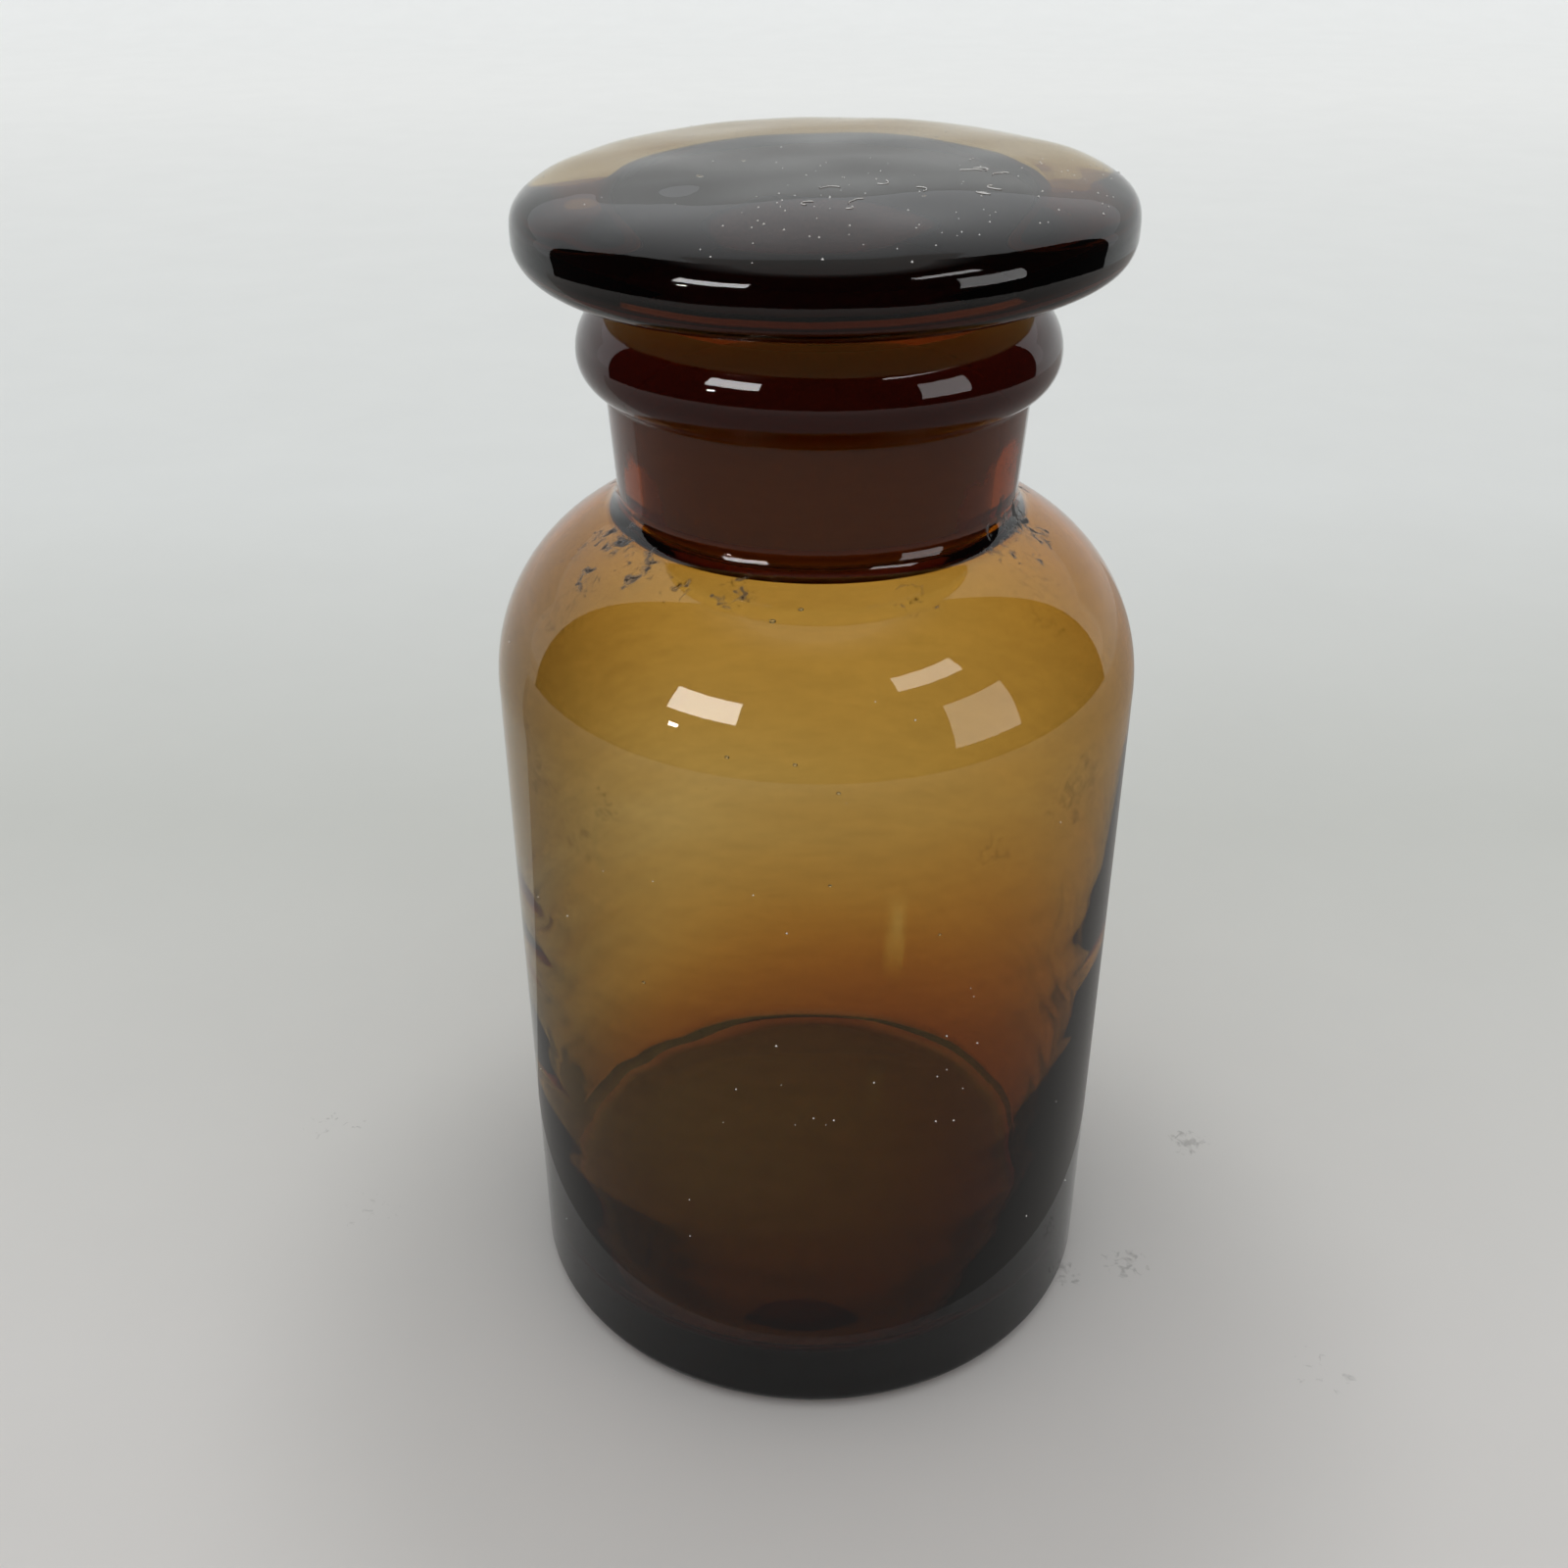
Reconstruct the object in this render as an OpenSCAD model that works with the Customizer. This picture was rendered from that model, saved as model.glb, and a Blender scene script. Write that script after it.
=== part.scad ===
// Wide-mouth reagent bottle of blown amber glass, with the glass stopper that is ground into its neck.
// Both pieces are solids of revolution about Z. The bottle stands on z = 0, in millimetres.

/* [Bottle] */
// Outer diameter of the body
body_d = 70; // [66:1:74]
// Height at which the straight body wall turns into the shoulder
shoulder_z = 80.5; // [74:0.5:81.5]
// Radius of the rounded shoulder
shoulder_r = 20; // [18:0.5:20.5]
// Thickness of the wall at the shoulder, where it was blown thinnest
wall = 0.7; // [0.6:0.1:2]
// Thickness of the wall just above the floor
wall_foot = 3.5; // [2.5:0.25:5]
// Thickness of the floor, measured from the table at the foot of the wall
floor_t = 6; // [4:0.5:9]
// Height of the hollow pushed up under the base
push_up = 2; // [1:0.25:3]
// Width of the flat ring that the bottle stands on
standing_w = 7; // [4:0.5:9]

/* [Neck] */
// Outer diameter at the foot of the neck
neck_d = 42; // [41:0.5:43]
// Gain of the neck's radius from its foot to the lip
neck_flare = 0.7; // [0:0.1:1]
// Height of the widest line of the rounded lip
lip_z = 115.9; // [115.3:0.2:116.5]
// Radius of the lip's section below its widest line
lip_r = 4.2; // [3.8:0.1:4.6]
// Radius of the lip's section above its widest line
lip_top_r = 5.8; // [5.2:0.1:6.2]
// Outer diameter of the lip
lip_d = 49; // [48:0.5:50]

/* [Ground joint] */
// Diameter of the ground bore at its lower, narrow end
bore_d = 36.8; // [36:0.2:37.6]
// Gain in the bore's diameter for each millimetre of height
taper = 0.1; // [0.08:0.01:0.12]
// Gap between the ground faces of the plug and the bore
joint_gap = 0.05; // [0.02:0.01:0.1]

/* [Stopper] */
// Height of the underside of the plug when it is seated
plug_z = 96.5; // [95:0.5:98]
// Height of the underside of the head when it is seated
head_z = 124.5; // [124:0.1:125.5]
// Diameter of the head
head_d = 60.8; // [56:0.4:66]
// Radius of the lower half of the head's rim
rim_r = 3.3; // [2.8:0.1:4.5]
// Height of the crown above the widest line of the rim
crown_h = 5.9; // [5:0.1:9]

/* [Hidden] */
$fn = 128;
amber = [0.48, 0.29, 0.09, 0.75];

arc_step = 6;          // degrees between the points of a round stretch
base_round = 2;        // outer rounding at the foot of the body
wall_power = 3.5;      // how late the wall thickens on its way down: 1 would be an even taper
wall_points = 14;      // points down the inside of the wall
floor_round = 3;       // inner rounding between the wall and the floor
floor_rise = 1.5;      // how far the middle of the floor stands up inside
cap_points = 8;        // points from the foot to the middle of a shallow cap
neck_round = 4;        // outer fillet between the shoulder and the neck
bead_round = 0.8;      // fillet between the neck and the lip
mouth_round = 0.8;     // rounding of the mouth's inner edge
bore_round = 2;        // rounding where the bore opens into the body
plug_round = 2.5;      // rounding of the plug's lower edge
head_round = 1.5;      // fillet between the plug and the head
crown_side = 0.65;     // fullness of the crown: 1 and 1 would make it an ellipse
crown_top = 0.55;

body_r = body_d / 2;
foot_r = body_r - wall_foot;
foot_z = floor_t + floor_round;
ring_r = body_r - base_round - standing_w;
neck_r = neck_d / 2;
bore_r = bore_d / 2;
head_r = head_d / 2;
rim_z = head_z + rim_r;
shaft_z = head_z - head_round;

// Points along an arc about c, from angle a to angle b
function arc(c, r, a, b) =
    let (n = ceil(abs(b - a) / arc_step))
    [for (i = [0:n]) let (t = a + (b - a) * i / n) c + r * [cos(t), sin(t)]];

// Points along a shallow spherical cap, from its foot at [r, z] to its top on the axis
function cap(r, h, z) =
    let (ball = (r * r + h * h) / (2 * h))
    [for (i = [cap_points:-1:0])
        let (t = asin(r / ball) * i / cap_points) [ball * sin(t), z + h - ball * (1 - cos(t))]];

function reversed(points) = [for (i = [len(points) - 1:-1:0]) points[i]];

// Direction from a to b, in degrees from 0 to 360
function heading(a, b) = (atan2(b.y - a.y, b.x - a.x) + 360) % 360;

// How far above c the point at distance d from it lies, where its line passes c at x and leans out by k
function rise(d, x, k = 0) = (sqrt(d * d * (1 + k * k) - x * x) - k * x) / (1 + k * k);

// Centres of the round stretches, each tangent to its neighbours
shoulder_c = [body_r - shoulder_r, shoulder_z];
shoulder_in = shoulder_r - wall;
neck_c = shoulder_c + [
    neck_r + neck_round - shoulder_c.x,
    rise(shoulder_r + neck_round, neck_r + neck_round - shoulder_c.x)];
lip_c = [lip_d / 2 - lip_r, lip_z];
lip_top_c = [lip_d / 2 - lip_top_r, lip_z];
bead_x = neck_r + neck_flare + bead_round;
bead_c = [bead_x, lip_z - rise(lip_r + bead_round, bead_x - lip_c.x)];
bore_c = shoulder_c + [
    bore_r + bore_round - shoulder_c.x,
    rise(shoulder_in + bore_round, bore_r + bore_round - shoulder_c.x)];
mouth_x = bore_at(lip_z) + mouth_round - lip_top_c.x;
mouth_z = lip_z + rise(lip_top_r - mouth_round, mouth_x, taper / 2);
mouth_c = [bore_at(mouth_z) + mouth_round, mouth_z];

// Radius of the body's inside at height z
function wall_at(z) =
    body_r - wall - (wall_foot - wall) * pow((shoulder_z - z) / (shoulder_z - foot_z), wall_power);

// Radius of the ground bore at height z
function bore_at(z) = bore_r + (z - bore_c.y) * taper / 2;

// Radius of the ground plug at height z
function plug_at(z) = bore_at(z) - joint_gap;

module bottle() {
    outside = concat(
        reversed(cap(ring_r, push_up, 0)),
        arc([body_r - base_round, base_round], base_round, -90, 0),
        arc(shoulder_c, shoulder_r, 0, heading(shoulder_c, neck_c)),
        arc(neck_c, neck_round, heading(neck_c, shoulder_c), 180),
        arc(bead_c, bead_round, 180, heading(bead_c, lip_c)),
        arc(lip_c, lip_r, heading(lip_c, bead_c) - 360, 0),
        arc(lip_top_c, lip_top_r, 0, heading(lip_top_c, mouth_c)),
        arc(mouth_c, mouth_round, heading(lip_top_c, mouth_c), 180)
    );
    wall_step = (shoulder_z - foot_z) / wall_points;
    foot_lean = atan((wall_foot - wall) * wall_power / (shoulder_z - foot_z));
    inside = concat(
        arc(bore_c, bore_round, 180, heading(bore_c, shoulder_c)),
        arc(shoulder_c, shoulder_in, heading(shoulder_c, bore_c), 0),
        [for (i = [1:wall_points]) let (z = shoulder_z - i * wall_step) [wall_at(z), z]],
        arc([foot_r - floor_round, foot_z], floor_round, -foot_lean, -90),
        cap(foot_r - floor_round, floor_rise, floor_t)
    );
    color(amber) rotate_extrude() polygon(concat(outside, inside));
}

module stopper() {
    plug_edge = plug_z + plug_round;
    plug = concat(
        [[0, plug_z]],
        arc([plug_at(plug_edge) - plug_round, plug_edge], plug_round, -90, 0),
        arc([plug_at(shaft_z) + head_round, shaft_z], head_round, 180, 90)
    );
    head = concat(
        arc([head_r - rim_r, rim_z], rim_r, -90, 0),
        [for (t = [90 - arc_step / 2:-arc_step / 2:0])
            [head_r * pow(sin(t), crown_side), rim_z + crown_h * pow(cos(t), crown_top)]]
    );
    color(amber) rotate_extrude() polygon(concat(plug, head));
}

bottle();
stopper();
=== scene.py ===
"""Stoppered reagent bottle of amber glass, in the frame's axes: +Z up, the base on z = 0. The two glass
pieces are drawn in millimetres, and the stage in metres."""
import math
import random

import bpy
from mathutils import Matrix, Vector, noise


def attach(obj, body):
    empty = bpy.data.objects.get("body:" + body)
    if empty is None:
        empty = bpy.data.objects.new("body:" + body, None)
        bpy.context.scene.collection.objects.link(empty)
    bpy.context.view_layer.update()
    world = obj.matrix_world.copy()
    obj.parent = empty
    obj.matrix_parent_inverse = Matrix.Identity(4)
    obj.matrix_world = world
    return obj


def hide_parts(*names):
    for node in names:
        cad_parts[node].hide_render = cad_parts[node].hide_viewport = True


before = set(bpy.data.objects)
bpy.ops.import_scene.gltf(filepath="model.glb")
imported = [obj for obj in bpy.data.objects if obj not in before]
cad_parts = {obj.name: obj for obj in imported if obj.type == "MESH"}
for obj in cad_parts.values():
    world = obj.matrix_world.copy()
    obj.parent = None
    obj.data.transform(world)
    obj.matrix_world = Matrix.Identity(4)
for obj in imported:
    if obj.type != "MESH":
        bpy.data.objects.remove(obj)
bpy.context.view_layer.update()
MM = 0.001


# ---- Sizes, in millimetres, as in the CAD but for NECK_ROUND, which is 4 there ---------------------------

BODY_R = 35.0
SHOULDER_Z, SHOULDER_R = 80.5, 20.0
WALL, WALL_FOOT, WALL_POWER = 0.7, 3.5, 3.5
FLOOR_T, FLOOR_RISE, FLOOR_ROUND = 6.0, 1.5, 3.0
PUSH_UP, STANDING_W, BASE_ROUND = 2.0, 7.0, 2.0
NECK_R, NECK_FLARE, NECK_ROUND = 21.0, 0.7, 2.8
LIP_Z, LIP_R, LIP_TOP_R, LIP_OUT_R = 115.9, 4.2, 5.8, 24.5
BEAD_ROUND, MOUTH_ROUND, BORE_ROUND = 0.8, 0.8, 2.0
BORE_R, TAPER, JOINT_GAP = 18.4, 0.1, 0.05
PLUG_Z, PLUG_ROUND = 96.5, 2.5
HEAD_Z, HEAD_R, RIM_R, HEAD_ROUND = 124.5, 30.4, 3.3, 1.5
CROWN_H, CROWN_SIDE, CROWN_TOP = 5.9, 0.65, 0.55

TURNS = 256             # faces round a lathed piece
POINT_STEP = 0.8        # longest stretch between two points of an outline
ARC_STEP = 3            # degrees between the points of an arc
ARC_LEAST = 6           # fewest stretches in an arc
CAP_STEPS, WALL_STEPS, CROWN_STEPS = 24, 240, 64


# ---- Outlines --------------------------------------------------------------------------------------------

def arc(c, r, a, b):
    """Points along an arc about c, from angle a to angle b in degrees."""
    n = max(ARC_LEAST, round(abs(b - a) / ARC_STEP))
    angles = [math.radians(a + (b - a) * i / n) for i in range(n + 1)]
    return [(c[0] + r * math.cos(t), c[1] + r * math.sin(t)) for t in angles]


def cap(r, h, z):
    """Points along a shallow spherical cap, from its foot at (r, z) to its top on the axis."""
    ball = (r * r + h * h) / (2 * h)
    angles = [math.asin(r / ball) * (1 - i / CAP_STEPS) for i in range(CAP_STEPS + 1)]
    return [(ball * math.sin(t), z + h - ball * (1 - math.cos(t))) for t in angles]


def heading(a, b):
    """Direction from a to b, in degrees from 0 to 360."""
    return math.degrees(math.atan2(b[1] - a[1], b[0] - a[0])) % 360


def rise(d, x, lean=0.0):
    """How far above a centre a point at distance d lies, where its line passes at x and leans out."""
    square = 1 + lean * lean
    return (math.sqrt(d * d * square - x * x) - lean * x) / square


def densified(points):
    """The same outline with points added so that no stretch is long."""
    out = [points[0]]
    for a, b in zip(points, points[1:]):
        n = max(1, math.ceil(math.dist(a, b) / POINT_STEP))
        out += [(a[0] + (b[0] - a[0]) * i / n, a[1] + (b[1] - a[1]) * i / n) for i in range(1, n + 1)]
    return [p for i, p in enumerate(out) if i == 0 or math.dist(p, out[i - 1]) > 1e-4]


# Centres of the round stretches, each tangent to its neighbours
SHOULDER_C = (BODY_R - SHOULDER_R, SHOULDER_Z)
SHOULDER_IN = SHOULDER_R - WALL
NECK_X = NECK_R + NECK_ROUND - SHOULDER_C[0]
NECK_C = (NECK_R + NECK_ROUND, SHOULDER_Z + rise(SHOULDER_R + NECK_ROUND, NECK_X))
LIP_C = (LIP_OUT_R - LIP_R, LIP_Z)
LIP_TOP_C = (LIP_OUT_R - LIP_TOP_R, LIP_Z)
BEAD_X = NECK_R + NECK_FLARE + BEAD_ROUND
BEAD_C = (BEAD_X, LIP_Z - rise(LIP_R + BEAD_ROUND, BEAD_X - LIP_C[0]))
BORE_X = BORE_R + BORE_ROUND - SHOULDER_C[0]
BORE_C = (BORE_R + BORE_ROUND, SHOULDER_Z + rise(SHOULDER_IN + BORE_ROUND, BORE_X))
FOOT_Z = FLOOR_T + FLOOR_ROUND
FOOT_R = BODY_R - WALL_FOOT


def wall_at(z):
    """Radius of the body's inside at height z."""
    return BODY_R - WALL - (WALL_FOOT - WALL) * ((SHOULDER_Z - z) / (SHOULDER_Z - FOOT_Z)) ** WALL_POWER


def bore_at(z):
    """Radius of the ground bore at height z."""
    return BORE_R + (z - BORE_C[1]) * TAPER / 2


def plug_at(z):
    """Radius of the ground plug at height z."""
    return bore_at(z) - JOINT_GAP


MOUTH_Z = LIP_Z + rise(LIP_TOP_R - MOUTH_ROUND, bore_at(LIP_Z) + MOUTH_ROUND - LIP_TOP_C[0], TAPER / 2)
MOUTH_C = (bore_at(MOUTH_Z) + MOUTH_ROUND, MOUTH_Z)


def bottle_outline():
    """The bottle's section, from the middle of the underside up the outside and down the inside."""
    ring_r = BODY_R - BASE_ROUND - STANDING_W
    wall_z = [SHOULDER_Z - (SHOULDER_Z - FOOT_Z) * i / WALL_STEPS for i in range(1, WALL_STEPS + 1)]
    lean = math.degrees(math.atan((WALL_FOOT - WALL) * WALL_POWER / (SHOULDER_Z - FOOT_Z)))
    outside = (
        cap(ring_r, PUSH_UP, 0)[::-1]
        + arc((BODY_R - BASE_ROUND, BASE_ROUND), BASE_ROUND, -90, 0)
        + arc(SHOULDER_C, SHOULDER_R, 0, heading(SHOULDER_C, NECK_C))
        + arc(NECK_C, NECK_ROUND, heading(NECK_C, SHOULDER_C), 180)
        + arc(BEAD_C, BEAD_ROUND, 180, heading(BEAD_C, LIP_C))
        + arc(LIP_C, LIP_R, heading(LIP_C, BEAD_C) - 360, 0)
        + arc(LIP_TOP_C, LIP_TOP_R, 0, heading(LIP_TOP_C, MOUTH_C))
        + arc(MOUTH_C, MOUTH_ROUND, heading(LIP_TOP_C, MOUTH_C), 180)
    )
    inside = (
        arc(BORE_C, BORE_ROUND, 180, heading(BORE_C, SHOULDER_C))
        + arc(SHOULDER_C, SHOULDER_IN, heading(SHOULDER_C, BORE_C), 0)
        + [(wall_at(z), z) for z in wall_z]
        + arc((FOOT_R - FLOOR_ROUND, FOOT_Z), FLOOR_ROUND, -lean, -90)
        + cap(FOOT_R - FLOOR_ROUND, FLOOR_RISE, FLOOR_T)
    )
    return densified(outside + inside)


def stopper_outline():
    """The stopper's section, from the middle of the plug's underside to the top of the crown."""
    edge = PLUG_Z + PLUG_ROUND
    shaft = HEAD_Z - HEAD_ROUND
    rim_z = HEAD_Z + RIM_R
    crown = [math.radians(90 - 90 * i / CROWN_STEPS) for i in range(1, CROWN_STEPS)]
    points = (
        [(0, PLUG_Z)]
        + arc((plug_at(edge) - PLUG_ROUND, edge), PLUG_ROUND, -90, 0)
        + arc((plug_at(shaft) + HEAD_ROUND, shaft), HEAD_ROUND, 180, 90)
        + arc((HEAD_R - RIM_R, rim_z), RIM_R, -90, 0)
        + [(HEAD_R * math.sin(t) ** CROWN_SIDE, rim_z + CROWN_H * math.cos(t) ** CROWN_TOP) for t in crown]
        + [(0, rim_z + CROWN_H)]
    )
    return densified(points)


# ---- Meshes ----------------------------------------------------------------------------------------------

BUBBLE_RINGS, BUBBLE_TURNS = 5, 8


def smoothstep(low, high, x):
    """0 up to low, 1 from high, and a smooth rise between."""
    t = min(max((x - low) / (high - low), 0), 1)
    return t * t * (3 - 2 * t)


def meshed(name, verts, faces):
    """A new object in the scene, from points in metres."""
    mesh = bpy.data.meshes.new(name)
    mesh.from_pydata(verts, [], faces)
    piece = bpy.data.objects.new(name, mesh)
    bpy.context.scene.collection.objects.link(piece)
    return piece


def smoothed(piece):
    """The same object, shaded smooth."""
    piece.data.polygons.foreach_set("use_smooth", [True] * len(piece.data.polygons))
    return piece


def bubble(centre, size, verts, faces):
    """Add a small closed hollow inside the glass, as wide as size and half as long again sideways."""
    x, y, z = centre
    along = Vector((-y, x, 0)).normalized()
    out = Vector((x, y, 0)).normalized()
    start = len(verts)
    for i in range(BUBBLE_RINGS + 2):
        t = math.pi * i / (BUBBLE_RINGS + 1)
        for k in range(BUBBLE_TURNS if 0 < i < BUBBLE_RINGS + 1 else 1):
            a = 2 * math.pi * k / BUBBLE_TURNS
            p = Vector(centre) + along * (0.75 * size * math.cos(t))
            p += (out * math.cos(a) + Vector((0, 0, math.sin(a)))) * (0.5 * size * math.sin(t))
            verts.append(tuple(p * MM))
    last = len(verts) - 1
    for k in range(BUBBLE_TURNS):
        j = (k + 1) % BUBBLE_TURNS
        faces.append((start, start + 1 + j, start + 1 + k))
        faces.append((last, last - BUBBLE_TURNS + k, last - BUBBLE_TURNS + j))
        for i in range(BUBBLE_RINGS - 1):
            a = start + 1 + i * BUBBLE_TURNS
            b = a + BUBBLE_TURNS
            faces.append((a + k, a + j, b + j, b + k))


def lathe(name, outline, shaped, bubbles):
    """A closed mesh turned about Z from an outline that starts and ends on the axis, in millimetres. shaped
    takes a point's radius, height and angle and gives its place. bubbles gives centres and widths."""
    ring = [p for p in outline if p[0] > 1e-6]
    points = [shaped(0, outline[0][1], 0)]
    for r, z in ring:
        points += [shaped(r, z, 2 * math.pi * k / TURNS) for k in range(TURNS)]
    points.append(shaped(0, outline[-1][1], 0))
    verts = [tuple(v * MM for v in p) for p in points]
    faces = []
    last = len(verts) - 1
    top = 1 + (len(ring) - 1) * TURNS
    for k in range(TURNS):
        j = (k + 1) % TURNS
        faces.append((0, 1 + j, 1 + k))
        faces.append((last, top + k, top + j))
        for i in range(len(ring) - 1):
            a, b = 1 + i * TURNS, 1 + (i + 1) * TURNS
            faces.append((a + k, a + j, b + j, b + k))
    for centre, size in bubbles:
        bubble(centre, size, verts, faces)
    return smoothed(meshed(name, verts, faces))


# ---- How hand work left the two pieces -------------------------------------------------------------------

THICK_SIDE = 0.95       # extra glass low down on the +X side, and as much less on the -X side
SLOW_WAVE = 0.25        # slow waves round the inside of the wall, low down
RIPPLE = 0.14           # ripples across the inside of the wall
SIDES_MORE = 0.08       # extra glass on both sides
SHOULDER_MORE = 0.6     # extra glass towards the top of the shoulder
STREAK, STREAK_A = 1.0, math.radians(66.8)      # a thinner upright streak, low in the back wall
LEAN_X, LEAN_Y = 0.0145, 0.056      # rise of the head towards +X and +Y for each millimetre
HEAD_WAVE = 0.16        # unevenness of the pressed head
SHIFT_X = 0.35          # the head's centre beside the plug's


def is_inside(r, z):
    """Whether an outline point of the bottle lies on the inside of the body, below the neck."""
    if z > BORE_C[1] - 0.5:
        return False
    if z > SHOULDER_Z:
        return math.dist((r, z), SHOULDER_C) < SHOULDER_R - WALL / 2
    return FLOOR_T - 0.5 < z and r < wall_at(max(z, FOOT_Z)) + WALL / 2


def thin_streak(z, a):
    """How much of the thin upright streak in the back wall a point is in, from 0 to 1."""
    beside = abs(a - STREAK_A) * BODY_R
    along = smoothstep(12, 18, z) * (1 - smoothstep(22, 30, z))
    return (1 - smoothstep(1.2, 1.9, beside + 0.3 * math.sin(z / 3.1))) * along


def blown(r, z, a):
    """A point of the bottle, with the inside of the wall uneven as blowing leaves it."""
    if r > 10 and is_inside(r, z):
        low = 1 - smoothstep(10, 78, z)
        out = smoothstep(10, FOOT_R - 2, r)
        side = math.cos(a)
        turn = Vector((1.3 * math.cos(a), 1.3 * math.sin(a), 0))
        slow = noise.noise(turn + Vector((3.1, 0, z / 14)))
        quick = noise.noise(turn * 1.4 + Vector((0, 7.7, (z + 2.5 * math.sin(a)) / 4.2)))
        rippled = smoothstep(12, 20, z) * (1 - smoothstep(50, 68, z))
        rippled *= 0.2 + side ** 4 * (1.5 - 0.6 * side)
        beside = smoothstep(0.4, 0.85, abs(side)) * smoothstep(12, 30, z) * (1 - smoothstep(82, 95, z))
        r -= out * (THICK_SIDE * side * low + SLOW_WAVE * low * slow + RIPPLE * rippled * quick)
        r -= SIDES_MORE * beside
        r += out * STREAK * thin_streak(z, a)
        more = SHOULDER_MORE * smoothstep(76, 96, z)
        if more > 0:
            away = math.dist((r, z), SHOULDER_C)
            r -= more * (r - SHOULDER_C[0]) / away
            z -= more * (z - SHOULDER_C[1]) / away
    return r * math.cos(a), r * math.sin(a), z


def pressed(r, z, a):
    """A point of the stopper, whose head was pressed a little out of square with the plug."""
    x, y = r * math.cos(a), r * math.sin(a)
    share = smoothstep(MOUTH_Z, HEAD_Z - 0.3, z)
    wave = HEAD_WAVE * noise.noise(Vector((x, y, z)) / 8)
    return x + share * SHIFT_X, y, z + share * (LEAN_X * x + LEAN_Y * y + wave)


def on_bottle(angle, z, depth):
    """A place as deep below the outside of the body or the shoulder, or above it where depth is negative."""
    a = math.radians(angle)
    r, tilt = BODY_R, 0.0
    if z > SHOULDER_Z:
        tilt = math.asin((z - SHOULDER_Z) / SHOULDER_R)
        r = SHOULDER_C[0] + SHOULDER_R * math.cos(tilt)
    r -= depth * math.cos(tilt)
    return r * math.cos(a), r * math.sin(a), z - depth * math.sin(tilt)


def on_crown(angle, r, depth):
    """A place as deep below the stopper's crown, or above it where depth is negative."""
    t = math.asin((r / HEAD_R) ** (1 / CROWN_SIDE))
    return pressed(r, HEAD_Z + RIM_R + CROWN_H * math.cos(t) ** CROWN_TOP - depth, math.radians(angle))


# ---- Marks and flaws -------------------------------------------------------------------------------------

# Most of the places below, and those of FLOOR_SPECKS, were worked out from the photo through the fitted
# camera by another program.
# Round patches on the outside, as x, y, z and radius in millimetres, and how dense they are
SOOT = [
    (-25.1, -8.2, 96.9, 3.0, 0.16), (-22.5, -8.5, 98.5, 2.6, 0.30), (-20.0, -11.0, 99.0, 3.0, 0.42),
    (-23.0, -14.6, 96.3, 2.6, 0.28), (-17.9, -16.5, 98.6, 3.4, 0.30), (17.4, -13.8, 99.4, 2.6, 0.26),
    (19.6, -10.0, 100.2, 2.8, 0.36), (21.0, -6.8, 100.6, 3.0, 0.45), (22.6, -7.9, 98.4, 3.0, 0.30),
    (20.5, -13.5, 97.9, 3.0, 0.24), (-8.1, -23.0, 98.1, 3.4, 0.2), (-14.0, -20.3, 98.0, 2.8, 0.2),
    (9.0, -23.0, 98.2, 3.0, 0.12), (-21.5, 6.0, 99.3, 3.2, 0.3), (21.8, 5.0, 99.2, 3.0, 0.3),
    (3.0, 22.4, 99.0, 3.4, 0.25), (-12.0, 19.5, 98.6, 3.0, 0.2)]
SMUDGES = [
    (-29.1, -19.5, 77.9, 5.0, 0.25), (-24.3, -25.2, 72.0, 4.0, 0.2), (-20.7, -28.2, 78.2, 3.0, 0.25),
    (-26.8, -22.5, 61.2, 4.5, 0.22), (17.4, -30.4, 74.1, 3.0, 0.28), (26.2, -23.3, 77.0, 5.5, 0.3),
    (31.1, -16.2, 68.9, 4.5, 0.25), (-26.0, -16.0, 94.0, 5.0, 0.2), (22.0, -17.0, 95.0, 5.0, 0.2)]
# Patches of the ground joint that the grinding missed
BARE = [(17.2, -8.4, 104.5, 5.5, 0.6), (15.0, -11.4, 101.8, 5.0, 0.6), (-17.6, -8.6, 103.0, 5.5, 0.5),
        (-16.2, -10.9, 100.5, 4.0, 0.5)]
# Seed bubbles in the bottle, as angle, height and width, and in the crown, as angle, radius and width
SEEDS = [(-100, 96.9, 0.45), (-94.4, 97.7, 0.36), (-94.2, 85.9, 0.32), (-105, 86.1, 0.32), (-87.4, 83.2, 0.30),
         (-88.5, 73.1, 0.28), (-70, 66, 0.26), (-121, 58, 0.3)]
PITS = [(-151, 13.3, 0.7), (-177, 7.7, 0.5), (-60, 17, 0.35), (40, 15, 0.4)]
SEED_DEPTH, PIT_DEPTH = 0.38, 0.6

SMUDGE_DARK = 0.325     # how dark a smudge is beside soot
DIRT = (0.02, 0.017, 0.014, 1)
# Grey mixed into the glass's colour: painted shade on the body's left and right edges, heavier on the -X side,
# an even grey on the crown, and thin streaks of wiped dirt
FILM_AND_SHADE_GREY = (0.5, 0.5, 0.5, 1)
SIDE_SHADE_SHIFT = 2.6        # how far the middle of the painted shade lies towards +X, which makes it heavier on the -X side
SIDE_SHADE_START = 0.4        # share of the body's radius at which the painted shade on the sides starts
SIDE_SHADE, CROWN_GREY = 0.78, 0.8      # how dense the painted shade is at the body's edges, and the grey on the crown


# ---- Nodes -----------------------------------------------------------------------------------------------

def calc(nt, operation, *values):
    """The result of a math node on sockets or numbers."""
    n = nt.nodes.new("ShaderNodeMath")
    n.operation = operation
    for socket, value in zip(n.inputs, values):
        if isinstance(value, (int, float)):
            socket.default_value = value
        else:
            nt.links.new(value, socket)
    return n.outputs[0]


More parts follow.
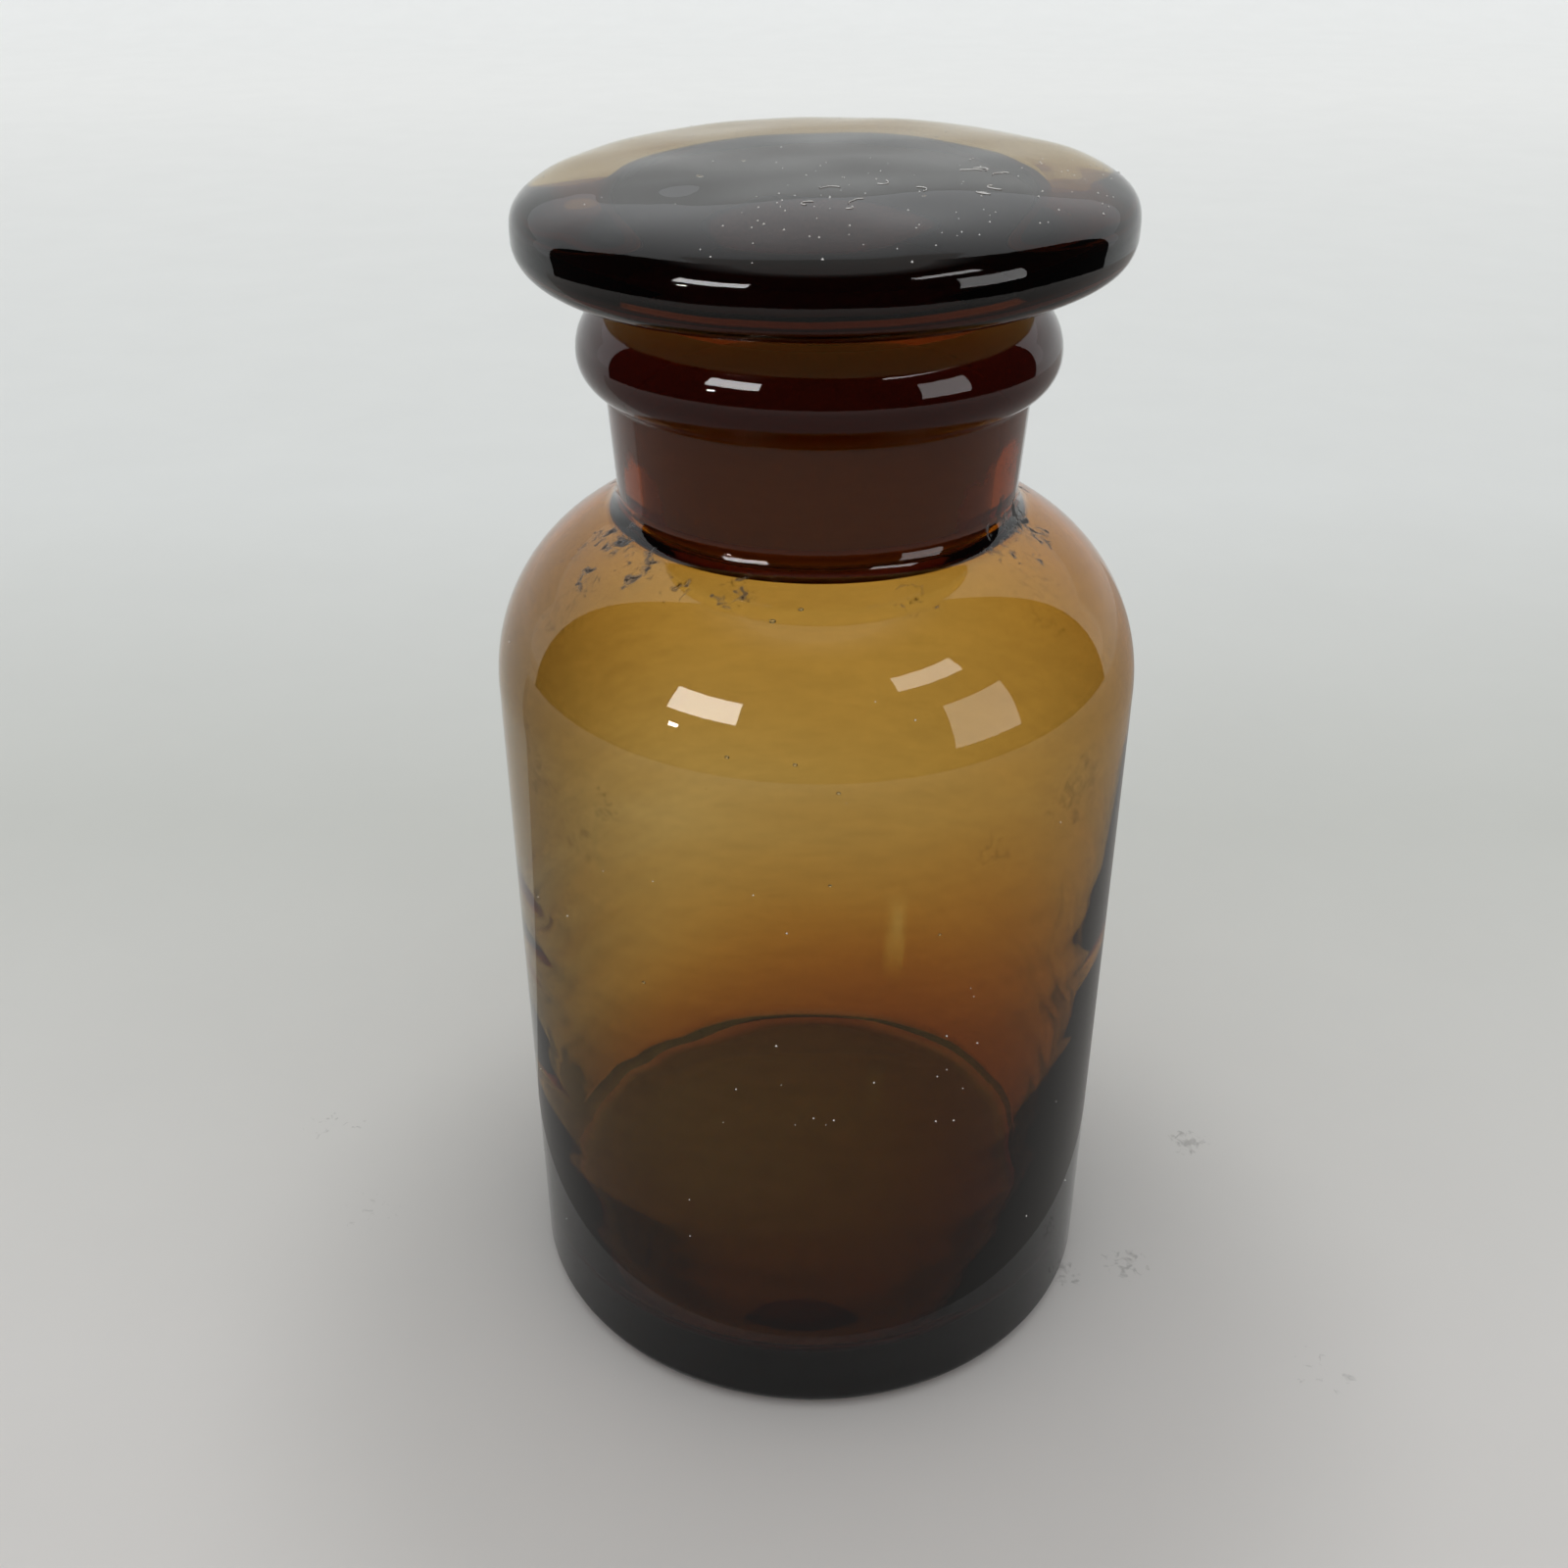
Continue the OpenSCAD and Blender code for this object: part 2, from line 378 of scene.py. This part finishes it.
def mixed(nt, share, a, b):
    """A colour from a to b. a may be a socket."""
    n = nt.nodes.new("ShaderNodeMix")
    n.data_type = "RGBA"
    nt.links.new(share, n.inputs["Factor"])
    n.inputs["B"].default_value = b
    if isinstance(a, tuple):
        n.inputs["A"].default_value = a
    else:
        nt.links.new(a, n.inputs["A"])
    return n.outputs["Result"]


def axes(nt, where):
    """The X, Y and Z sockets of a point."""
    parts = nt.nodes.new("ShaderNodeSeparateXYZ")
    nt.links.new(where, parts.inputs["Vector"])
    return parts.outputs


def distance(nt, where, place):
    """How far a point is from a place, in metres."""
    n = nt.nodes.new("ShaderNodeVectorMath")
    n.operation = "DISTANCE"
    nt.links.new(where, n.inputs[0])
    n.inputs[1].default_value = place
    return n.outputs["Value"]


def noise_at(nt, where, **settings):
    """The value of a noise texture at a point."""
    n = nt.nodes.new("ShaderNodeTexNoise")
    for name, value in settings.items():
        n.inputs[name].default_value = value
    nt.links.new(where, n.inputs["Vector"])
    return n.outputs["Fac"]


def remapped(nt, value, reach, values, smooth=False):
    """A value carried from one range to another and held at its ends."""
    n = nt.nodes.new("ShaderNodeMapRange")
    if smooth:
        n.interpolation_type = "SMOOTHSTEP"
    for name, number in zip(("From Min", "From Max", "To Min", "To Max"), (*reach, *values)):
        n.inputs[name].default_value = number
    nt.links.new(value, n.inputs["Value"])
    return n.outputs["Result"]


def film_and_side_shade(nt, where):
    """How dense the grey mixed into the glass is at a point: painted shade on both sides of the body,
    strongest at the edges, an even grey on the crown, and thin streaks of wiped dirt.
    """
    x, y, z = axes(nt, where)
    aside = calc(nt, "DIVIDE", calc(nt, "ABSOLUTE", calc(nt, "SUBTRACT", x, SIDE_SHADE_SHIFT * MM)), BODY_R * MM)
    past = calc(nt, "MULTIPLY_ADD", aside, 1 / (1 - SIDE_SHADE_START), -SIDE_SHADE_START / (1 - SIDE_SHADE_START))
    below = calc(nt, "LESS_THAN", z, NECK_C[1] * MM)
    grown = calc(nt, "MULTIPLY", calc(nt, "POWER", calc(nt, "MAXIMUM", past, 0.0), 2.5), SIDE_SHADE)
    sides = calc(nt, "MULTIPLY", grown, below)
    crown = calc(nt, "MULTIPLY", calc(nt, "GREATER_THAN", z, (HEAD_Z + RIM_R) * MM), CROWN_GREY)
    flat = nt.nodes.new("ShaderNodeVectorMath")
    flat.operation = "MULTIPLY"
    flat.inputs[1].default_value = (1, 1, 4)
    nt.links.new(where, flat.inputs[0])
    wiped = noise_at(nt, flat.outputs["Vector"], Scale=150, Detail=8, Roughness=0.68)
    thin = calc(nt, "MAXIMUM", calc(nt, "MULTIPLY_ADD", wiped, 0.5, -0.21), 0.0)
    return calc(nt, "MINIMUM", calc(nt, "ADD", calc(nt, "MAXIMUM", sides, crown), thin), 1.0)


def in_zone(nt, where, low, high, reach):
    """1 between two heights and within a radius of the axis, in millimetres, and 0 elsewhere."""
    x, y, z = axes(nt, where)
    square = calc(nt, "ADD", calc(nt, "MULTIPLY", x, x), calc(nt, "MULTIPLY", y, y))
    between = calc(nt, "MULTIPLY", calc(nt, "GREATER_THAN", z, low * MM), calc(nt, "LESS_THAN", z, high * MM))
    return calc(nt, "MULTIPLY", between, calc(nt, "LESS_THAN", square, (reach * MM) ** 2))


def speckled(nt, where, patches, scale, grain):
    """How dense some ragged patches are at a point, from 0 to 1."""
    depth = 0.0
    for x, y, z, radius, dense in patches:
        away = distance(nt, where, (x * MM, y * MM, z * MM))
        inside = calc(nt, "MULTIPLY_ADD", away, -2 * dense / (radius * MM), 2 * dense)
        depth = calc(nt, "MAXIMUM", calc(nt, "MINIMUM", inside, dense), depth)
    ragged = noise_at(nt, where, Scale=scale, Detail=4, Distortion=0.6)
    full = calc(nt, "MULTIPLY_ADD", ragged, grain, depth)
    near = calc(nt, "GREATER_THAN", depth, 0.02)
    dense = calc(nt, "MULTIPLY", calc(nt, "SUBTRACT", full, 0.15 + 0.58 * grain), 4.0)
    clamped = calc(nt, "MINIMUM", calc(nt, "MAXIMUM", dense, 0.0), 1.0)
    return calc(nt, "MULTIPLY", clamped, near)


# ---- Materials -------------------------------------------------------------------------------------------

def material(name):
    """A new material and its nodes."""
    mat = bpy.data.materials.new(name)
    mat.use_nodes = True
    return mat, mat.node_tree


def absorbing(nt, absorb):
    """A volume that takes up the light lost in each millimetre, given as red, green and blue."""
    volume = nt.nodes.new("ShaderNodeVolumeAbsorption")
    most = max(absorb) * 1.02
    volume.inputs["Color"].default_value = (*[1 - a / most for a in absorb], 1)
    volume.inputs["Density"].default_value = most / MM
    return volume.outputs["Volume"]


def amber_glass(name, absorb, ground, tone, cloudy, bare=()):
    """Clear amber glass. absorb is the light lost in each millimetre, as red, green and blue; ground gives
    the heights and the largest radius of the ground zone, in millimetres, tone its colour, and cloudy how
    much light it scatters. bare holds the patches that the grinding missed."""
    mat, nt = material(name)
    nt.nodes.clear()
    out = nt.nodes.new("ShaderNodeOutputMaterial")
    glass = nt.nodes.new("ShaderNodeBsdfPrincipled")
    glass.inputs["Base Color"].default_value = (1, 1, 1, 1)
    glass.inputs["Roughness"].default_value = 0.0
    glass.inputs["IOR"].default_value = 1.52
    glass.inputs["Transmission Weight"].default_value = 1.0
    nt.links.new(glass.outputs["BSDF"], out.inputs["Surface"])
    nt.links.new(absorbing(nt, absorb), out.inputs["Volume"])

    where = nt.nodes.new("ShaderNodeTexCoord").outputs["Object"]
    ground_zone = in_zone(nt, where, *ground)
    if bare:
        missed = speckled(nt, where, bare, 300, 1.2)
        ground_zone = calc(nt, "MULTIPLY", ground_zone, calc(nt, "SUBTRACT", 1.0, missed))
    soot = speckled(nt, where, SOOT, 750, 1.6)
    smudge = calc(nt, "MULTIPLY", speckled(nt, where, SMUDGES, 700, 1.6), SMUDGE_DARK)
    matt = calc(nt, "MAXIMUM", calc(nt, "MULTIPLY", ground_zone, 0.55), calc(nt, "MULTIPLY", soot, 0.5))
    blocked = calc(nt, "MULTIPLY", calc(nt, "POWER", soot, 2.5), 0.5)
    lost = calc(nt, "MAXIMUM", calc(nt, "MULTIPLY", ground_zone, cloudy), blocked)
    # Painted shade on the body's sides, grey on the crown and wiped dirt, mixed into the glass's colour
    filmed_and_shaded = mixed(nt, film_and_side_shade(nt, where), (1, 1, 1, 1), FILM_AND_SHADE_GREY)
    toned = mixed(nt, ground_zone, filmed_and_shaded, (*tone, 1))
    dirty = mixed(nt, calc(nt, "MAXIMUM", soot, smudge), toned, DIRT)
    nt.links.new(matt, glass.inputs["Roughness"])
    nt.links.new(calc(nt, "SUBTRACT", 1.0, lost), glass.inputs["Transmission Weight"])
    nt.links.new(dirty, glass.inputs["Base Color"])
    return mat


def dust_material():
    """Pale dust and lint."""
    mat, nt = material("dust")
    p = nt.nodes["Principled BSDF"]
    p.inputs["Roughness"].default_value = 1.0
    where = nt.nodes.new("ShaderNodeTexCoord").outputs["Object"]
    tone = nt.nodes.new("ShaderNodeValToRGB")
    tone.color_ramp.elements[0].color = (0.5, 0.48, 0.46, 1)
    tone.color_ramp.elements[1].color = (0.85, 0.84, 0.82, 1)
    nt.links.new(noise_at(nt, where, Scale=300), tone.inputs["Fac"])
    nt.links.new(tone.outputs["Color"], p.inputs["Base Color"])
    return mat


# ---- The object ------------------------------------------------------------------------------------------

ABSORB = (0.192, 0.455, 1.20)
STOPPER_ABSORB = (0.060, 0.100, 0.25)
GROUND_REACH = 19.6     # largest radius of the ground zones

bottle = lathe("bottle_glass", bottle_outline(), blown,
               [(on_bottle(angle, z, SEED_DEPTH), size) for angle, z, size in SEEDS])
bottle.data.materials.append(amber_glass(
    "bottle_glass", ABSORB, (BORE_C[1], MOUTH_Z - 1.5, GROUND_REACH), (0.74, 1, 0.92), 0.25, BARE))
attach(bottle, "bottle")
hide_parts("bottle")

stopper = lathe("stopper_glass", stopper_outline(), pressed,
                [(on_crown(angle, r, PIT_DEPTH), size) for angle, r, size in PITS])
stopper.data.materials.append(amber_glass(
    "stopper_glass", STOPPER_ABSORB, (PLUG_Z + PLUG_ROUND, MOUTH_Z - 1, GROUND_REACH),
    (0.66, 0.47, 0.27), 0.3))
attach(stopper, "stopper")
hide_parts("stopper")


# ---- Dust and lint ---------------------------------------------------------------------------------------

GRAIN = ((1, 0, -0.4), (-0.5, 0.9, -0.4), (-0.5, -0.9, -0.4), (0, 0, 0.7))      # corners of a grain of dust
GRAIN_FACES = ((0, 1, 3), (1, 2, 3), (2, 0, 3), (0, 2, 1))
FIBRE_R = 0.05
FIBRE_STEP = 0.28
LOOSE = -0.02           # grains lie just above the glass, and fibres twice as high


def lint(name, places, body, fibres, dust):
    """Grains of dust and a few short fibres. places gives the spots for the grains, one after another."""
    verts, faces = [], []
    for place in places:
        size = random.uniform(0.07, 0.17)
        turn = random.uniform(0, 2 * math.pi)
        start = len(verts)
        for x, y, z in GRAIN:
            across = x * math.cos(turn) - y * math.sin(turn)
            along = x * math.sin(turn) + y * math.cos(turn)
            verts.append(tuple((Vector(place) + Vector((across, along, z)) * size) * MM))
        faces += [tuple(start + i for i in face) for face in GRAIN_FACES]
    for line in fibres:
        for i, p in enumerate(line):
            start = len(verts)
            for dx, dz in ((FIBRE_R, -FIBRE_R / 2), (-FIBRE_R, -FIBRE_R / 2), (0, FIBRE_R)):
                verts.append(tuple((Vector(p) + Vector((dx, dx, dz))) * MM))
            if i:
                faces += [(start - 3 + k, start - 3 + (k + 1) % 3, start + (k + 1) % 3, start + k)
                          for k in range(3)]
    piece = meshed(name, verts, faces)
    piece.data.materials.append(dust)
    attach(piece, body)


def fibre():
    """The line of a curled fibre on the crown."""
    angle, r = random.uniform(-100, -15), random.uniform(8, 25)
    course, bend = random.uniform(0, 2 * math.pi), random.uniform(-0.5, 0.5)
    x, y = r * math.cos(math.radians(angle)), r * math.sin(math.radians(angle))
    line = []
    for i in range(random.randint(5, 9)):
        line.append(on_crown(math.degrees(math.atan2(y, x)), math.hypot(x, y), 2 * LOOSE))
        course += bend + random.uniform(-0.4, 0.4)
        x, y = x + FIBRE_STEP * math.cos(course), y + FIBRE_STEP * math.sin(course)
    return line


random.seed(11)
dust = dust_material()
crown_dust = [on_crown(random.uniform(-115, 5), 29 * random.random() ** 0.45, LOOSE) for i in range(90)]
crown_dust += [on_crown(random.uniform(-180, 180), 29 * random.random() ** 0.5, LOOSE) for i in range(40)]
lint("dust_stopper", crown_dust, "stopper", [fibre() for i in range(12)], dust)
body_dust = [on_bottle(random.uniform(-105, -60), random.uniform(34, 60), LOOSE) for i in range(16)]
body_dust += [on_bottle(random.uniform(-180, 180), random.uniform(6, 92), LOOSE) for i in range(50)]
lint("dust_bottle", body_dust, "bottle", [], dust)


# ---- Stage, light and camera, in metres ------------------------------------------------------------------

# Marks on the table, as x, y, z and radius in millimetres, and how dense they are
FLOOR_SPECKS = [(54, 11, 0, 3.4, 0.3), (33, -14, 0, 3, 0.25), (41, -12, 0, 3.5, 0.3), (-68, 14, 0, 5, 0.15),
                (62, -30, 0, 5, 0.12), (-59, -2, 0, 5, 0.12)]
# Painted light and shade on the paper from front to back, as share of its depth and colour: grey in front, a
# darker band of painted shadow just behind the bottle, and lighter towards the back as if lit from behind
PAPER_SHADE_TONES = [
    (0.0, (0.66, 0.63, 0.605, 1)), (0.085, (0.68, 0.66, 0.64, 1)), (0.15, (0.605, 0.605, 0.575, 1)),
    (0.24, (0.725, 0.73, 0.715, 1)), (0.7, (0.865, 0.86, 0.845, 1)), (1.0, (0.89, 0.89, 0.88, 1))]
PAPER_Z = -0.0003
PAPER_DEPTH = (-0.2, 1.8)
BACK, BACK_BEND = 1.6, 0.5      # where the floor starts to curve up, and the radius of the curve
EYE_Z = 0.09
ROOM = 0.6              # radius of the dark room round the bottle
FLAG_FROM = 0.045       # inner radius of the card of painted shade on the table
CEILING_Z, CEILING_HALF = 2.0, 0.75
# What the glass reflects, as azimuths, elevations, strength and how many flat strips the card has
WINDOWS = {
    "window_left": ((-54, -28), (20, 32), 10, 4),
    "lamp_left": ((-51, -47.5), (11.5, 13.5), 35, 2),
    "window_right": ((45, 70), (2, 25), 2.8, 6),
    "window_top": ((32, 62), (38, 46), 5, 6),
}


def paper():
    """Pale paper with painted light and shade: graded from grey in front to white behind as if lit from the
    back, with a painted contact shadow round the bottle.
    """
    mat, nt = material("paper")
    p = nt.nodes["Principled BSDF"]
    p.inputs["Roughness"].default_value = 0.9
    p.inputs["Specular IOR Level"].default_value = 0.2
    where = nt.nodes.new("ShaderNodeTexCoord").outputs["Object"]
    ramp = nt.nodes.new("ShaderNodeValToRGB")
    first, last = ramp.color_ramp.elements
    first.position, first.color = PAPER_SHADE_TONES[0]
    last.position, last.color = PAPER_SHADE_TONES[-1]
    for position, tone in PAPER_SHADE_TONES[1:-1]:
        ramp.color_ramp.elements.new(position).color = tone
    nt.links.new(remapped(nt, axes(nt, where)["Y"], PAPER_DEPTH, (0, 1)), ramp.inputs["Fac"])
    # Painted contact shadow: the paper darkened round the bottle's foot
    contact_shadow = remapped(nt, distance(nt, where, (0, -0.02, 0)), (0.045, 0.08), (0.87, 1.0), smooth=True)
    cloud = noise_at(nt, where, Scale=26, Detail=9, Roughness=0.62)
    mottle = calc(nt, "MULTIPLY_ADD", cloud, 0.05, 0.98)
    clean = calc(nt, "MULTIPLY_ADD", speckled(nt, where, FLOOR_SPECKS, 900, 1.6), -0.25, 1.0)
    shaded = nt.nodes.new("ShaderNodeVectorMath")
    shaded.operation = "SCALE"
    nt.links.new(ramp.outputs["Color"], shaded.inputs[0])
    nt.links.new(calc(nt, "MULTIPLY", calc(nt, "MULTIPLY", contact_shadow, mottle), clean), shaded.inputs["Scale"])
    nt.links.new(shaded.outputs["Vector"], p.inputs["Base Color"])
    return mat


def sweep():
    """A pale floor that curves up into a backdrop."""
    line = [(-2.5, PAPER_Z), (-0.6, PAPER_Z), (0.6, PAPER_Z), (BACK, PAPER_Z)]
    line += [(BACK + BACK_BEND * math.sin(t), PAPER_Z + BACK_BEND * (1 - math.cos(t)))
             for t in [math.radians(a) for a in range(10, 91, 10)]]
    line += [(BACK + BACK_BEND, PAPER_Z + 1.0)]
    verts = [(x, y, z) for y, z in line for x in (-3, 3)]
    faces = [(2 * i, 2 * i + 1, 2 * i + 3, 2 * i + 2) for i in range(len(line) - 1)]
    o = smoothed(meshed("sweep", verts, faces))
    o.data.materials.append(paper())


def glow(name, colour, strength):
    """A plain light-giving material."""
    mat, nt = material(name)
    nt.nodes.clear()
    out = nt.nodes.new("ShaderNodeOutputMaterial")
    light = nt.nodes.new("ShaderNodeEmission")
    light.inputs["Color"].default_value = (*colour, 1)
    light.inputs["Strength"].default_value = strength
    nt.links.new(light.outputs["Emission"], out.inputs["Surface"])
    return mat


def faded(mat, axis, reach, strengths):
    """The same glow, with its strength graded along Z or with the distance from the origin."""
    nt = mat.node_tree
    where = nt.nodes.new("ShaderNodeTexCoord").outputs["Object"]
    measure = axes(nt, where)["Z"] if axis == "Z" else distance(nt, where, (0, 0, 0))
    light = next(n for n in nt.nodes if n.type == "EMISSION")
    nt.links.new(remapped(nt, measure, reach, strengths), light.inputs["Strength"])
    return mat


def around(azimuth, elevation, distance_out):
    """A point seen from the shoulder's height, azimuth 0 in front and positive to the right, in degrees."""
    a, e = math.radians(azimuth), math.radians(elevation)
    x, y = math.sin(a) * distance_out, -math.cos(a) * distance_out
    return Vector((x, y, EYE_Z + distance_out * math.tan(e)))


def card(name, verts, faces, glowing):
    """A glowing sheet that only reflections see."""
    sheet = meshed(name, verts, faces)
    sheet.data.materials.append(glowing)
    sheet.visible_camera = False
    sheet.visible_diffuse = False
    sheet.visible_transmission = False
    sheet.visible_volume_scatter = False
    sheet.visible_shadow = False


def strip(steps):
    """The faces of a strip whose points go across it in pairs."""
    return [(2 * i, 2 * i + 2, 2 * i + 3, 2 * i + 1) for i in range(steps)]


def curved_card(name, azimuths, elevations, distance_out, glowing, steps):
    """A card that curves round the bottle between two azimuths and two elevations."""
    verts = []
    for i in range(steps + 1):
        azimuth = azimuths[0] + (azimuths[1] - azimuths[0]) * i / steps
        verts += [around(azimuth, elevation, distance_out) for elevation in elevations]
    card(name, verts, strip(steps), glowing)


def painted_table_shade():
    """A card of painted shade on the table round the front of the bottle, seen only in reflections and darkest
    near the bottle.
    """
    verts = []
    steps = 56
    for i in range(steps + 1):
        a = math.radians(-116 + 268 * i / steps)
        verts += [(math.sin(a) * d, -math.cos(a) * d, 0.0005) for d in (FLAG_FROM, ROOM)]
    glowing = faded(glow("painted_table_shade", (1, 0.97, 0.93), 1.0), "distance", (0.05, ROOM), (0.30, 0.62))
    card("painted_table_shade", verts, strip(steps), glowing)


def overhead():
    """A slightly darker ceiling."""
    verts = [(-CEILING_HALF, -CEILING_HALF, CEILING_Z), (CEILING_HALF, -CEILING_HALF, CEILING_Z),
             (CEILING_HALF, CEILING_HALF, CEILING_Z), (-CEILING_HALF, CEILING_HALF, CEILING_Z)]
    card("ceiling", verts, [(0, 1, 2, 3)], glow("ceiling", (1, 0.98, 0.95), 0.68))


sweep()
dark_room = faded(glow("dark_room", (1, 0.97, 0.94), 0.03), "Z", (1.1, 2.1), (0.03, 0.6))
curved_card("dark_room", (-110, 114), (-8.5, 72), ROOM, dark_room, 56)
for name, (azimuths, elevations, strength, steps) in WINDOWS.items():
    curved_card(name, azimuths, elevations, ROOM - 0.01, glow(name, (1, 1, 1), strength), steps)
painted_table_shade()
overhead()

world = bpy.data.worlds.new("studio")
bpy.context.scene.world = world
world.use_nodes = True
world.node_tree.nodes["Background"].inputs["Color"].default_value = (0.97, 0.99, 1.0, 1)
world.node_tree.nodes["Background"].inputs["Strength"].default_value = 1.0

camera = bpy.data.objects.new("camera", bpy.data.cameras.new("camera"))
camera.location = (-0.0035, -0.165, 0.1585)
camera.rotation_euler = (math.radians(60.33), 0, 0)
camera.data.sensor_width = 36
camera.data.lens = 37.33
camera.data.clip_start = 0.01
bpy.context.scene.collection.objects.link(camera)
bpy.context.scene.camera = camera

scene = bpy.context.scene
scene.view_settings.view_transform = "Standard"
scene.view_settings.gamma = 0.88
scene.cycles.max_bounces = 32
scene.cycles.transmission_bounces = 32
scene.cycles.glossy_bounces = 16
scene.cycles.diffuse_bounces = 4
